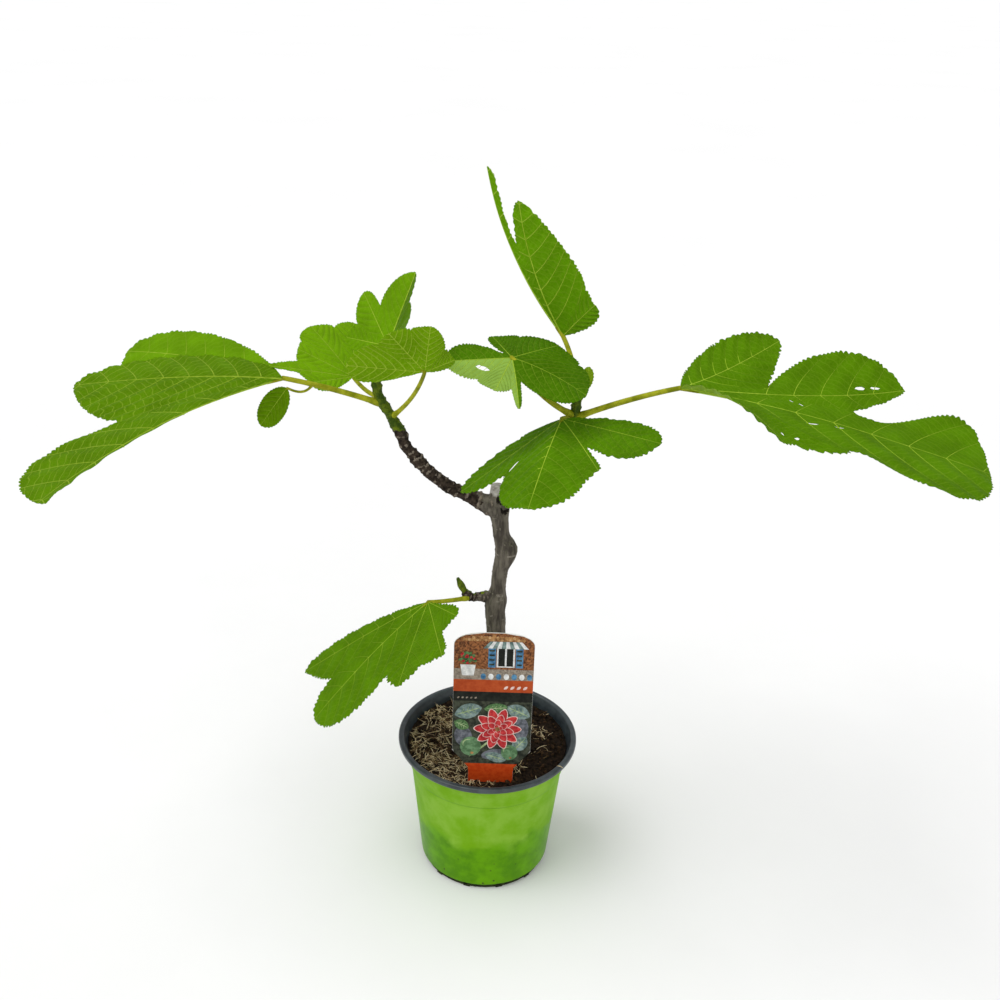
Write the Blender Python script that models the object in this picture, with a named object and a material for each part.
"""Young fig tree in a round nursery pot: trunk, two boughs, spur, eleven leaves, pot, soil and label."""
import math

import bmesh
import bpy
from mathutils import Matrix, Vector

# Driving dimensions of the pot, in metres
GAP = 0.0003
FLARE_GAP = 0.0004
POT_HEIGHT = 0.122
RIM_RADIUS = 0.075
RIM_DEPTH = 0.0045
WALL_TOP_RADIUS = 0.0709
WALL_FOOT_RADIUS = 0.0551
WALL_THICKNESS = 0.0012
STEP_HEIGHT = 0.095
STEP_RADIUS = 0.0641
STEP_DEPTH = 0.0006
STEP_EDGE = 0.001
FOOT_RADIUS = 0.0525
FOOT_HEIGHT = 0.005
FLOOR_THICKNESS = 0.0025
SKIRT_FOOT = 0.098
SKIRT_THICKNESS = 0.001
RIM_EDGE = 0.001
LIP_WIDTH = 0.0038
DRAIN_COUNT = 6
DRAIN_RADIUS = 0.0045
DRAIN_CIRCLE = 0.036
POT_SIDES = 64

# Driving dimensions of the soil and the label, in metres
SOIL_TOP = 0.114
LABEL_WIDTH = 0.0622
LABEL_BODY_FOOT = 0.143
LABEL_SHOULDER = 0.2375
LABEL_TOP = 0.2485
LABEL_THICKNESS = 0.0010
LABEL_TAPER = 0.016
STAKE_WIDTH = 0.036
STAKE_TIP_WIDTH = 0.012
STAKE_DEPTH = 0.030
SLOT_GAP = 0.0005
LABEL_PLACE = (0.0032, -0.0536)
LABEL_LEAN = 4.0

# Limbs: each station is x, y, z and radius in millimetres
TRUNK = (
    (1, 2, SOIL_TOP * 1000 + 0.3, 11.5), (1.5, 2, 119, 9.2), (2.5, 1, 130, 8.2), (4, 0, 170, 7.9),
    (4, 0, 222, 7.7), (3, 0, 242, 8.2), (3.4, 0, 253, 8.4), (4.6, 0, 263, 6.2), (6, 0, 280, 6.2),
    (9.5, 0, 292, 8.2), (9.5, 0, 299, 8.4), (6, 0, 309, 6.4), (4.5, 0, 322, 6.6), (3, 0, 332, 8.2),
    (2, 0, 340, 7.6), (1.3, 0, 347, 5.4), (1, 0, 352, 4.6),
)
LEFT_BOUGH = (
    (1.5, 0, 333.5, 5.4), (-7.5, 0, 336.5, 5.4), (-19.3, 0, 342, 5.0), (-34.6, 0, 349.2, 4.9),
    (-50, 0, 361, 4.6), (-62, 0, 374, 4.4), (-68.5, 0, 383, 4.3), (-72, 0, 392, 4.1), (-76, 0, 400, 3.9),
    (-81, 0, 409, 3.7), (-86, 0, 416.5, 3.6), (-89, 0, 425, 3.3), (-90, 0, 432, 3.0), (-90.5, 0, 437, 2.4),
)
RIGHT_BOUGH = (
    (3, 0, 336, 5.0), (11, -2, 343, 5.0), (22, -4, 357, 4.6), (36, -9, 379, 4.3), (50, -13, 401, 4.0),
    (54.5, -14, 411, 3.9), (56.5, -14, 421, 3.6), (57.5, -13, 430, 2.6),
)
SPUR = (
    (3.4, 0, 254, 3.8), (-4.9, 0, 254, 3.6), (-9, -1, 254.5, 3.4), (-14, -1.5, 254, 3.1),
    (-18.5, -2, 255.5, 3.3), (-22, -2, 259, 2.8),
)
SPUR_BUD = ((-21.4, -1.5, 258, 2.0), (-23, -1, 261, 2.5), (-25, -1, 265, 2.8), (-27.5, -1.5, 271, 1.0))
LIMBS = {
    "trunk": TRUNK, "left_bough": LEFT_BOUGH, "right_bough": RIGHT_BOUGH, "spur": SPUR, "spur_bud": SPUR_BUD,
}
LIMB_GAP = 0.0004
LIMB_SIDES = 12
TRUNK_SIDES = 16
STATION_LENGTH = 0.006

# Blades: rows run out from each lobe's vein to the margin
MIDRIB_START = -0.5
MIDRIB_STOP = 1.2
MIDRIB_STATIONS = 60
SINUS_NECK = 0.10
SINUS_LIFT = 0.22
TIP_BLUNTNESS = 0.08
ROWS = 9
ROWS_TO_SINUS = 3
COLUMNS = 2
ROW_SWEEP = 1.2
BLADE_THINNESS = 95.0
STALK_SIDES = 8
STALK_STATIONS = 7
STALK_INTO_BLADE = 0.10
STALK_END_SHARE = 0.75

# Colours, as linear red, green and blue
LEAF_GREEN = (0.10, 0.26, 0.012)
YOUNG_GREEN = (0.20, 0.36, 0.03)
BARK_GREY = (0.17, 0.14, 0.11)
BARK_DARK = (0.06, 0.045, 0.035)
POT_GREEN = (0.19, 0.50, 0.015)
RIM_BLUE = (0.045, 0.065, 0.09)
SOIL_BROWN = (0.045, 0.028, 0.018)
LABEL_RED = (0.60, 0.08, 0.02)


def leaf(base, heading, pitch, size, lobes, sinuses, limb_name, root, bow, **shape):
    """One leaf: its place in millimetres, its angles in degrees, and its lobes from right to left."""
    form = dict(bend=0, roll=0, fold=(0, 0), relax=(0, 0), curl=(0, 0), settle=1.0,
                ends=((115, 0.5), (115, 0.5)), stalk=(2.3, 1.8), necks={})
    form.update(shape)
    form.update(base=base, heading=heading, pitch=pitch, size=size * 0.001, lobes=lobes, sinuses=sinuses,
                limb=limb_name, root=root, bow=bow)
    return form


# Each lobe is its vein's angle, its length in millimetres, how broad it is on its right and left, and
# where its vein sets out at another angle, that angle
LEAVES = {
    "leaf_left_large": leaf(
        (-155.7, -10, 435.9), 184, -17, 205,
        ((-40, 156, 0.2, 0.45), (2, 210, 0.45, 0.62), (45, 142, 0.45, 0.2)), ((-16, 110), (15, 110)),
        "left_bough", (-84.8, 0, 414.5), (-120, -6, 427), bend=24, fold=(42, 26),
        ends=((68, 0.4), (92, 0.4)), necks={(1, 1): -0.05}),
    "leaf_right_large": leaf(
        (127.4, -30, 445.2), -10, -6, 225,
        ((-43, 97, 0.25, 0.25), (2, 224, 0.87, 1.15), (23, 173, 0.12, 0.55, 14),
         (51, 103, 0.15, 0.3)), ((-16, 122), (13, 127), (20, 64)),
        "right_bough", (55.5, -14, 414), (91.5, -22, 431.5), bend=12, fold=(4, 26), curl=(55, 0),
        relax=(0, 1.2), settle=0.45, ends=((90, 0.4), (92, 0.5)),
        necks={(1, 1): 0.38, (2, 1): -0.35, (3, -1): 0.4}),
    "leaf_top": leaf(
        (45.4, 10, 468), 182, 50, 145,
        ((-74, 38, 0.4, 0.3), (-18, 88, 0.25, 0.3), (0, 133, 0.22, 0.15), (10, 108, 0.3, 0.17),
         (74, 40, 0.3, 0.4)), ((-58, 43), (-5, 74), (4, 77), (57, 46)),
        "right_bough", (56, -12, 424), (54, -3, 447), bend=-30, fold=(60, 30), stalk=(2.0, 1.7),
        ends=((105, 0.5), (106, 0.5))),
    "leaf_front": leaf(
        (45.5, -35, 421), -106, -6, 120,
        ((-54, 90, 0.25, 0.5), (2, 104, 0.55, 0.5), (34, 70, 0.15, 0.2),
         (78, 75, 0.8, 0.35)), ((-30, 62), (26, 76), (38, 42)),
        "right_bough", (54.5, -14, 409), (50, -26, 417.5), bend=18, fold=(0, -34),
        ends=((112, 0.5), (112, 0.6))),
    "leaf_low": leaf(
        (-50.3, -10, 253.3), 215, -35, 130,
        ((-34, 134, 0.12, 0.1), (-9, 131, 0.5, 0.52), (39, 80, 0.3, 0.25),
         (70, 72, 0.3, 0.3), (96, 45, 0.3, 0.3)), ((-20, 103), (24, 68), (54, 67), (77, 46)),
        "spur", (-18.5, -4, 254.8), (-36.4, -9, 254.2), bend=15, fold=(12, -10), stalk=(1.9, 1.6),
        ends=((51, 0.4), (100, 0.5))),
    "leaf_front_small": leaf(
        (-51.1, -44, 455.7), -155, 35, 59,
        ((-32, 54, 0.5, 0.5), (16, 43, 0.4, 0.5), (55, 41, 0.4, 0.35), (112, 23, 0.4, 0.3)),
        ((0, 40), (36, 39), (84, 24)),
        "left_bough", (-78.5, 0, 405), (-62, -20, 428), roll=60, stalk=(1.8, 1.4),
        ends=((55, 0.4), (150, 0.4))),
    "leaf_left_back": leaf(
        (-110.5, 30, 424.4), 142, 38, 70,
        ((-40, 60, 0.3, 0.4), (0, 54, 0.6, 0.6), (36, 46, 0.4, 0.3), (63, 69, 0.1, 0.1),
         (80, 40, 0.3, 0.4)), ((-22, 50), (24, 46), (52, 44), (68, 44)),
        "left_bough", (-87.5, 0, 420), (-99, 16, 419), bend=10, stalk=(1.8, 1.5),
        ends=((70, 0.4), (110, 0.4))),
    "leaf_back": leaf(
        (-81.2, 5, 457.7), 50, 60, 67,
        ((-45, 44, 0.3, 0.4), (0, 57, 0.5, 0.5), (52, 53, 0.4, 0.4),
         (94, 42, 0.5, 0.3)), ((-20, 38), (38, 34), (76, 38)),
        "left_bough", (-90, 0, 431), (-88, 4, 446), fold=(0, -120), stalk=(1.8, 1.5),
        ends=((75, 0.5), (120, 0.5))),
    "leaf_left_small": leaf(
        (-154.1, -5, 426.6), 184, -55, 40, ((0, 36, 0.42, 0.42),), (),
        "leaf_left_large", (-135, -7.9, 431), (-143, -6, 424.5), roll=-60, stalk=(1.0, 0.9),
        ends=((72, 0.4), (72, 0.4))),
    "leaf_middle": leaf(
        (8.5, -35, 465), -26, -12, 67,
        ((-152, 48, 0.4, 0.3), (-85, 28, 0.4, 0.4), (-50, 44, 0.16, 0.16), (10, 58, 0.7, 0.7),
         (72, 48, 0.5, 0.4), (145, 31, 0.5, 0.3)),
        ((-118, 28), (-60, 25), (-41, 21), (44, 50), (108, 34)),
        "right_bough", (55, -14, 416), (30, -28, 437), bend=24, fold=(4, -40), relax=(0, 0.6),
        ends=((184, 0.6), (171, 0.5))),
    "leaf_bud": leaf(
        (62.5, -12.5, 435), 70, 72, 20, ((0, 17, 0.36, 0.36),), (),
        "right_bough", (58.2, -14, 427), (61, -13.5, 431), stalk=(1.2, 1.0),
        ends=((62, 0.4), (62, 0.4))),
}


def clear_scene():
    """Start from an empty scene."""
    for item in list(bpy.data.objects):
        bpy.data.objects.remove(item, do_unlink=True)


def finish(name, colour, roughness, metallic=0.0):
    """A plain material of one colour."""
    material = bpy.data.materials.new(name)
    material.use_nodes = True
    shader = material.node_tree.nodes["Principled BSDF"]
    shader.inputs["Base Color"].default_value = (*colour, 1)
    shader.inputs["Roughness"].default_value = roughness
    shader.inputs["Metallic"].default_value = metallic
    return material


def body(name, bm, material):
    """Close a bmesh into a named object that is shaded smooth up to its sharp edges."""
    bmesh.ops.remove_doubles(bm, verts=bm.verts, dist=1e-6)
    bmesh.ops.recalc_face_normals(bm, faces=bm.faces)
    mesh = bpy.data.meshes.new(name)
    bm.to_mesh(mesh)
    bm.free()
    mesh.shade_smooth()
    mesh.set_sharp_from_angle(angle=math.radians(40))
    mesh.materials.append(material)
    item = bpy.data.objects.new(name, mesh)
    bpy.context.collection.objects.link(item)
    return item


def turned(name, profile, material, sides=POT_SIDES):
    """Turn a profile of (radius, height) about the upright axis; one clear of the axis is closed first."""
    bm = bmesh.new()
    verts = [bm.verts.new((radius, 0, height)) for radius, height in profile]
    edges = [bm.edges.new(pair) for pair in zip(verts, verts[1:])]
    if profile[0][0] > 0:
        edges.append(bm.edges.new((verts[-1], verts[0])))
    bmesh.ops.spin(bm, geom=verts + edges, cent=(0, 0, 0), axis=(0, 0, 1), angle=math.tau,
                   steps=sides, use_merge=True)
    return body(name, bm, material)


def apply_modifiers(item):
    """Make an object's evaluated shape its own mesh."""
    graph = bpy.context.evaluated_depsgraph_get()
    mesh = bpy.data.meshes.new_from_object(item.evaluated_get(graph))
    item.modifiers.clear()
    item.data = mesh


def boolean(item, others, operation):
    """Join objects to an item, or cut them from it, in one step, and remove them."""
    group = bpy.data.collections.new(item.name + "_parts")
    bpy.context.scene.collection.children.link(group)
    for other in others:
        for owner in list(other.users_collection):
            owner.objects.unlink(other)
        group.objects.link(other)
    step = item.modifiers.new("join", "BOOLEAN")
    step.operation = operation
    step.operand_type = "COLLECTION"
    step.collection = group
    step.solver = "EXACT"
    apply_modifiers(item)
    for other in others:
        bpy.data.objects.remove(other, do_unlink=True)
    bpy.data.collections.remove(group)


def smooth_path(stations, spacing):
    """Points and radii on a smooth curve through the stations, about one spacing apart."""
    knots = [Vector(station) * 0.001 for station in stations]
    ends = [knots[0] * 2 - knots[1]] + knots + [knots[-1] * 2 - knots[-2]]
    path = []
    for i in range(1, len(ends) - 2):
        before, start, stop, after = ends[i - 1:i + 3]
        count = max(1, round((stop - start).length / spacing))
        for k in range(count):
            t = k / count
            path.append(0.5 * (2 * start + (stop - before) * t
                               + (2 * before - 5 * start + 4 * stop - after) * t ** 2
                               + (3 * start - before - 3 * stop + after) * t ** 3))
    path.append(knots[-1])
    return [Vector(p[:3]) for p in path], [p[3] for p in path]


def frame_along(points, i):
    """The direction of a path at point i."""
    after = points[min(i + 1, len(points) - 1)]
    before = points[max(i - 1, 0)]
    return (after - before).normalized()


def tube(points, radii, sides, first=None):
    """A closed tube of round sections that follows the points; first is the way its first end faces."""
    bm = bmesh.new()
    direction = Vector(first) if first else frame_along(points, 0)
    turn = Vector((0, 0, 1)).rotation_difference(direction)
    place = Matrix.LocRotScale(points[0], turn, Vector((radii[0],) * 3))
    ring = bmesh.ops.create_circle(bm, cap_ends=False, segments=sides, radius=1, matrix=place)["verts"]
    edges = list({edge for vert in ring for edge in vert.link_edges})
    bottom = list(edges)
    for i in range(1, len(points)):
        heading = frame_along(points, i)
        turn = direction.rotation_difference(heading) @ turn
        direction = heading
        goal = Matrix.LocRotScale(points[i], turn, Vector((radii[i],) * 3))
        made = bmesh.ops.extrude_edge_only(bm, edges=edges)["geom"]
        verts = [part for part in made if isinstance(part, bmesh.types.BMVert)]
        bmesh.ops.transform(bm, matrix=goal @ place.inverted(), verts=verts)
        edges = [part for part in made if isinstance(part, bmesh.types.BMEdge)
                 and all(vert in verts for vert in part.verts)]
        place = goal
    bmesh.ops.contextual_create(bm, geom=bottom)
    bmesh.ops.contextual_create(bm, geom=edges)
    return bm


def sleeve(name, points, radii, sides, material):
    """A limb's shape, a gap larger all round, that cuts clear what grows out of the limb."""
    longer = points[:-1] + [points[-1] + frame_along(points, len(points) - 1) * LIMB_GAP]
    return body(name, tube(longer, [radius + LIMB_GAP for radius in radii], sides), material)


def limb(name, material, parent=None, first=None, sides=LIMB_SIDES):
    """A tapering limb through its stations, cut clear of the limb that it grows out of."""
    points, radii = smooth_path(LIMBS[name], STATION_LENGTH)
    item = body(name, tube(points, radii, sides, first), material)
    if parent:
        boolean(item, [limb_sleeve(parent, material)], "DIFFERENCE")
    return item


def limb_sleeve(name, material):
    """The sleeve of a limb."""
    points, radii = smooth_path(LIMBS[name], STATION_LENGTH)
    return sleeve(name + "_sleeve", points, radii, TRUNK_SIDES if name == "trunk" else LIMB_SIDES, material)


def midrib(form):
    """Stations along a leaf's midrib: distance, point, forward, left and up directions."""
    size = form["size"]
    azimuth = math.radians(form["heading"])
    roll = math.radians(form["roll"])
    side = Vector((-math.sin(azimuth), math.cos(azimuth), 0))
    step = (MIDRIB_STOP - MIDRIB_START) * size / MIDRIB_STATIONS
    stations = []
    point = Vector((0, 0, 0))
    for i in range(MIDRIB_STATIONS + 1):
        along = MIDRIB_START * size + i * step
        share = max(0.0, along / size)
        pitch = math.radians(form["pitch"] - form["bend"] * share)
        forward = Vector((math.cos(azimuth) * math.cos(pitch), math.sin(azimuth) * math.cos(pitch),
                          math.sin(pitch)))
        up = forward.cross(side)
        left = side * math.cos(roll) + up * math.sin(roll)
        up = up * math.cos(roll) - side * math.sin(roll)
        if stations:
            point = point + (stations[-1][2] + forward) * (step / 2)
        stations.append((along, point, forward, left, up))
    shift = Vector(form["base"]) * 0.001 - between(stations, 0.0)[0]
    return [(along, point + shift, forward, left, up) for along, point, forward, left, up in stations]


def between(stations, along):
    """Point, left and up on the midrib at a distance along it."""
    step = stations[1][0] - stations[0][0]
    place = (along - stations[0][0]) / step
    i = max(0, min(len(stations) - 2, int(place)))
    share = place - i
    low, high = stations[i], stations[i + 1]
    return (low[1].lerp(high[1], share), low[3].lerp(high[3], share), low[4].lerp(high[4], share))


def surface(form, stations, u, v):
    """The place in space of a point u along and v to the left on the flat leaf."""
    point, left, up = between(stations, u)
    side = 0 if v >= 0 else 1
    share = max(0.0, min(1.0, u / (form["size"] * form["settle"])))
    share = share * share * (3 - 2 * share)
    fold = math.radians(form["fold"][side]) * (1 - form["relax"][side] * share)
    curl = math.radians(form["curl"][side]) / (0.6 * form["size"]) + 1e-6
    width = abs(v)
    across = (math.sin(fold + curl * width) - math.sin(fold)) / curl
    rise = (math.cos(fold) - math.cos(fold + curl * width)) / curl
    return point + left * (across if side == 0 else -across) + up * rise


def ray(angle, length):
    """A point on the flat leaf at an angle in degrees and a length in millimetres."""
    turn = math.radians(angle)
    return Vector((math.cos(turn), math.sin(turn))) * length * 0.001


def bezier(start, first, second, stop, t):
    """A point on a cubic curve."""
    s = 1 - t
    return start * s ** 3 + first * 3 * s * s * t + second * 3 * s * t * t + stop * t ** 3


def vein_guide(lobe):
    """The middle control point of a lobe's vein."""
    start_angle = lobe[4] if len(lobe) > 4 else lobe[0]
    return ray(start_angle, lobe[1] * 0.5)


def lobe_side(form, index, side):
    """The margin of one side of a lobe as four control points, from its sinus or the base to its tip."""
    angle, length = form["lobes"][index][:2]
    broad = form["lobes"][index][2 if side < 0 else 3]
    tip = ray(angle, length)
    vein = (tip - vein_guide(form["lobes"][index])).normalized()
    across = Vector((-vein.y, vein.x)) * side
    neighbour = index + side
    if 0 <= neighbour < len(form["lobes"]):
        sinus = form["sinuses"][min(index, neighbour)]
        start = ray(*sinus)
        inward = Vector((-start.y, start.x)).normalized() * -side
        span = (tip - start).length
        neck = form["necks"].get((index, side), SINUS_NECK)
        first = start + inward * span * neck + start.normalized() * span * SINUS_LIFT
    else:
        start = Vector((0, 0))
        span = length * 0.001
        turn, reach = form["ends"][0 if side < 0 else 1]
        first = ray(turn * side, length * reach)
    second = tip + across * span * broad - vein * span * TIP_BLUNTNESS
    return start, first, second, tip


def half_sector(bm, form, stations, index, side):
    """The blade between a lobe's vein and its margin on one side, as a grid laid onto the leaf."""
    curve = lobe_side(form, index, side)
    guide = vein_guide(form["lobes"][index])
    inner = 0 <= index + side < len(form["lobes"])
    to_sinus = ROWS_TO_SINUS if inner else 0
    grid = bmesh.ops.create_grid(bm, x_segments=ROWS, y_segments=COLUMNS, size=0.5)["verts"]
    for vert in grid:
        row = round((vert.co.x + 0.5) * ROWS)
        share = vert.co.y + 0.5
        out = (row / ROWS) ** ROW_SWEEP
        vein = guide * 2 * out * (1 - out) + curve[3] * out * out
        if row <= to_sinus and inner:
            margin = curve[0] * (row / to_sinus)
        else:
            margin = bezier(*curve, (row - to_sinus) / (ROWS - to_sinus))
        flat = vein.lerp(margin, share)
        vert.co = surface(form, stations, flat.x, flat.y)
    if side < 0:
        faces = list({face for vert in grid for face in vert.link_faces})
        bmesh.ops.reverse_faces(bm, faces=faces)


def blade(name, form, material):
    """A leaf's blade: its half sectors joined and given their thickness."""
    stations = midrib(form)
    bm = bmesh.new()
    for index in range(len(form["lobes"])):
        for side in (-1, 1):
            half_sector(bm, form, stations, index, side)
    bmesh.ops.remove_doubles(bm, verts=bm.verts, dist=2e-5)
    bmesh.ops.dissolve_degenerate(bm, edges=bm.edges, dist=1e-6)
    item = body(name, bm, material)
    thickness = item.modifiers.new("thickness", "SOLIDIFY")
    thickness.thickness = form["size"] / BLADE_THINNESS
    thickness.offset = 0
    return item


def stalk_path(form):
    """The points and radii of a leaf's stalk: from inside its limb, in a bow, to just inside the blade."""
    base, root, bow = (Vector(form[place]) * 0.001 for place in ("base", "root", "bow"))
    thick, thin = (size * 0.001 for size in form["stalk"])
    control = bow * 2 - (root + base) / 2
    points = []
    for i in range(STALK_STATIONS + 1):
        t = i / STALK_STATIONS
        points.append(root.lerp(control, t).lerp(control.lerp(base, t), t))
    points.append(surface(form, midrib(form), form["size"] * STALK_INTO_BLADE, 0))
    radii = [thick + (thin - thick) * i / STALK_STATIONS for i in range(STALK_STATIONS + 1)]
    return points, radii + [thin * STALK_END_SHARE]


def make_leaf(name, form, material):
    """A leaf: its stalk, cut clear of the limb that it grows on, joined to its blade."""
    points, radii = stalk_path(form)
    stem = body(name + "_stalk", tube(points, radii, STALK_SIDES), material)
    if form["limb"] in LIMBS:
        around = limb_sleeve(form["limb"], material)
    else:
        points, radii = stalk_path(LEAVES[form["limb"]])
        around = sleeve(name + "_sleeve", points, radii, STALK_SIDES, material)
    boolean(stem, [around], "DIFFERENCE")
    item = blade(name, form, material)
    apply_modifiers(item)
    boolean(item, [stem], "UNION")
    return item


def wall_radius(height):
    """The wall's outer radius at a height: nearly straight to the step, and flaring above it."""
    if height < STEP_HEIGHT:
        share = (height - FOOT_HEIGHT) / (STEP_HEIGHT - FOOT_HEIGHT)
        return WALL_FOOT_RADIUS + (STEP_RADIUS - WALL_FOOT_RADIUS) * share
    share = (height - STEP_HEIGHT) / (POT_HEIGHT - RIM_DEPTH - STEP_HEIGHT)
    return STEP_RADIUS + STEP_DEPTH + (WALL_TOP_RADIUS - STEP_RADIUS - STEP_DEPTH) * share


def make_pot():
    """The pot: a thin tapering wall with a step round it, on an inset foot with drain holes."""
    green = finish("pot_green", POT_GREEN, 0.45)
    top = POT_HEIGHT - RIM_DEPTH
    below, above = STEP_HEIGHT - STEP_EDGE, STEP_HEIGHT + STEP_EDGE
    inner_foot = FOOT_RADIUS - WALL_THICKNESS
    profile = (
        (0, 0), (FOOT_RADIUS, 0), (FOOT_RADIUS, FOOT_HEIGHT), (WALL_FOOT_RADIUS, FOOT_HEIGHT),
        (wall_radius(below), below), (wall_radius(above), above),
        (WALL_TOP_RADIUS, top), (WALL_TOP_RADIUS - WALL_THICKNESS, top),
        (wall_radius(above) - WALL_THICKNESS, above), (wall_radius(below) - WALL_THICKNESS, below),
        (WALL_FOOT_RADIUS - WALL_THICKNESS, FOOT_HEIGHT + WALL_THICKNESS),
        (inner_foot, FOOT_HEIGHT + WALL_THICKNESS), (inner_foot, FLOOR_THICKNESS), (0, FLOOR_THICKNESS),
    )
    pot = turned("pot", profile, green)
    drills = []
    for i in range(DRAIN_COUNT):
        turn = math.tau * (i + 0.5) / DRAIN_COUNT
        place = Matrix.Translation((DRAIN_CIRCLE * math.cos(turn), DRAIN_CIRCLE * math.sin(turn), 0))
        bm = bmesh.new()
        bmesh.ops.create_cone(bm, cap_ends=True, segments=12, radius1=DRAIN_RADIUS, radius2=DRAIN_RADIUS,
                              depth=FLOOR_THICKNESS * 4, matrix=place)
        drills.append(body(f"drain_{i}", bm, green))
    boolean(pot, drills, "DIFFERENCE")
    return pot


def make_rim():
    """The dark lip on top of the wall, which narrows inside to the skirt that lines the wall."""
    outer = WALL_TOP_RADIUS - WALL_THICKNESS - FLARE_GAP
    top = POT_HEIGHT - RIM_DEPTH
    inner = outer - SKIRT_THICKNESS
    drop = WALL_TOP_RADIUS - wall_radius(SKIRT_FOOT)
    profile = (
        (outer - drop, SKIRT_FOOT), (outer, top + GAP), (RIM_RADIUS - RIM_EDGE, top + GAP),
        (RIM_RADIUS, top + GAP + RIM_EDGE), (RIM_RADIUS, POT_HEIGHT - RIM_EDGE),
        (RIM_RADIUS - RIM_EDGE, POT_HEIGHT), (RIM_RADIUS - LIP_WIDTH, POT_HEIGHT),
        (RIM_RADIUS - LIP_WIDTH - RIM_EDGE, POT_HEIGHT - RIM_EDGE), (inner, top - RIM_EDGE),
        (inner - drop, SKIRT_FOOT),
    )
    return turned("pot_rim", profile, finish("rim_blue_grey", RIM_BLUE, 0.4))


def make_soil():
    """The soil that fills the pot, with the slot that the label's stake stands in."""
    brown = finish("soil_brown", SOIL_BROWN, 0.95)
    ledge = FOOT_HEIGHT + WALL_THICKNESS + GAP
    low = STEP_HEIGHT - STEP_EDGE - GAP
    inset = WALL_THICKNESS + 3 * GAP
    narrow = inset + SKIRT_THICKNESS + FLARE_GAP
    foot = FOOT_RADIUS - WALL_THICKNESS - 2 * GAP
    profile = (
        (0, FLOOR_THICKNESS + GAP), (foot, FLOOR_THICKNESS + GAP), (foot, ledge),
        (wall_radius(ledge) - inset, ledge), (wall_radius(low) - inset, low),
        (wall_radius(STEP_HEIGHT) - narrow, SKIRT_FOOT - GAP),
        (wall_radius(SOIL_TOP) - narrow, SOIL_TOP), (0, SOIL_TOP),
    )
    soil = turned("soil", profile, brown)
    slot = label_plate("slot", brown, grow=SLOT_GAP)
    boolean(soil, [slot], "DIFFERENCE")
    return soil


def label_plate(name, material, grow=0.0):
    """The label's plate: an arched top, straight sides, and a tapering stake, leaning back a little."""
    half = LABEL_WIDTH / 2
    stake_top = LABEL_BODY_FOOT - LABEL_TAPER
    tip = SOIL_TOP - STAKE_DEPTH
    right = [(STAKE_TIP_WIDTH / 2, tip), (STAKE_WIDTH / 2, tip + 0.012), (STAKE_WIDTH / 2, stake_top),
             (half, LABEL_BODY_FOOT), (half, LABEL_SHOULDER)]
    for i in range(1, 6):
        turn = math.pi / 2 * i / 6
        rise = (LABEL_TOP - LABEL_SHOULDER) * math.sin(turn)
        right.append((half * math.cos(turn) ** 0.7, LABEL_SHOULDER + rise))
    outline = right + [(-x, z) for x, z in reversed(right)]
    thick = LABEL_THICKNESS / 2 + grow
    bm = bmesh.new()
    front = bm.faces.new([bm.verts.new((x, -thick, z - SOIL_TOP)) for x, z in outline])
    made = bmesh.ops.extrude_face_region(bm, geom=[front])["geom"]
    back = [part for part in made if isinstance(part, bmesh.types.BMVert)]
    bmesh.ops.translate(bm, verts=back, vec=(0, 2 * thick, 0))
    for vert in bm.verts:
        vert.co.x += math.copysign(grow, vert.co.x)
    if grow:
        for vert in bm.verts:
            if vert.co.z < -STAKE_DEPTH + 0.0001:
                vert.co.z -= grow
    lean = Matrix.Rotation(math.radians(-LABEL_LEAN), 4, "X")
    bmesh.ops.transform(bm, matrix=Matrix.Translation((*LABEL_PLACE, SOIL_TOP)) @ lean, verts=bm.verts)
    return body(name, bm, material)


def make_limbs():
    """The trunk, its two boughs and its spur, each one tapering limb."""
    grey = finish("bark_grey", BARK_GREY, 0.85)
    dark = finish("bark_dark", BARK_DARK, 0.85)
    limb("trunk", grey, first=(0, 0, 1), sides=TRUNK_SIDES)
    limb("left_bough", dark, "trunk")
    limb("right_bough", dark, "trunk")
    limb("spur", dark, "trunk")
    limb("spur_bud", finish("bud_green", YOUNG_GREEN, 0.6), "spur")


def main():
    """Build the whole plant in its pot."""
    clear_scene()
    make_pot()
    make_rim()
    make_soil()
    label_plate("plant_label", finish("label_red", LABEL_RED, 0.3))
    make_limbs()
    for name, form in LEAVES.items():
        make_leaf(name, form, finish(name + "_green", LEAF_GREEN, 0.5))


main()
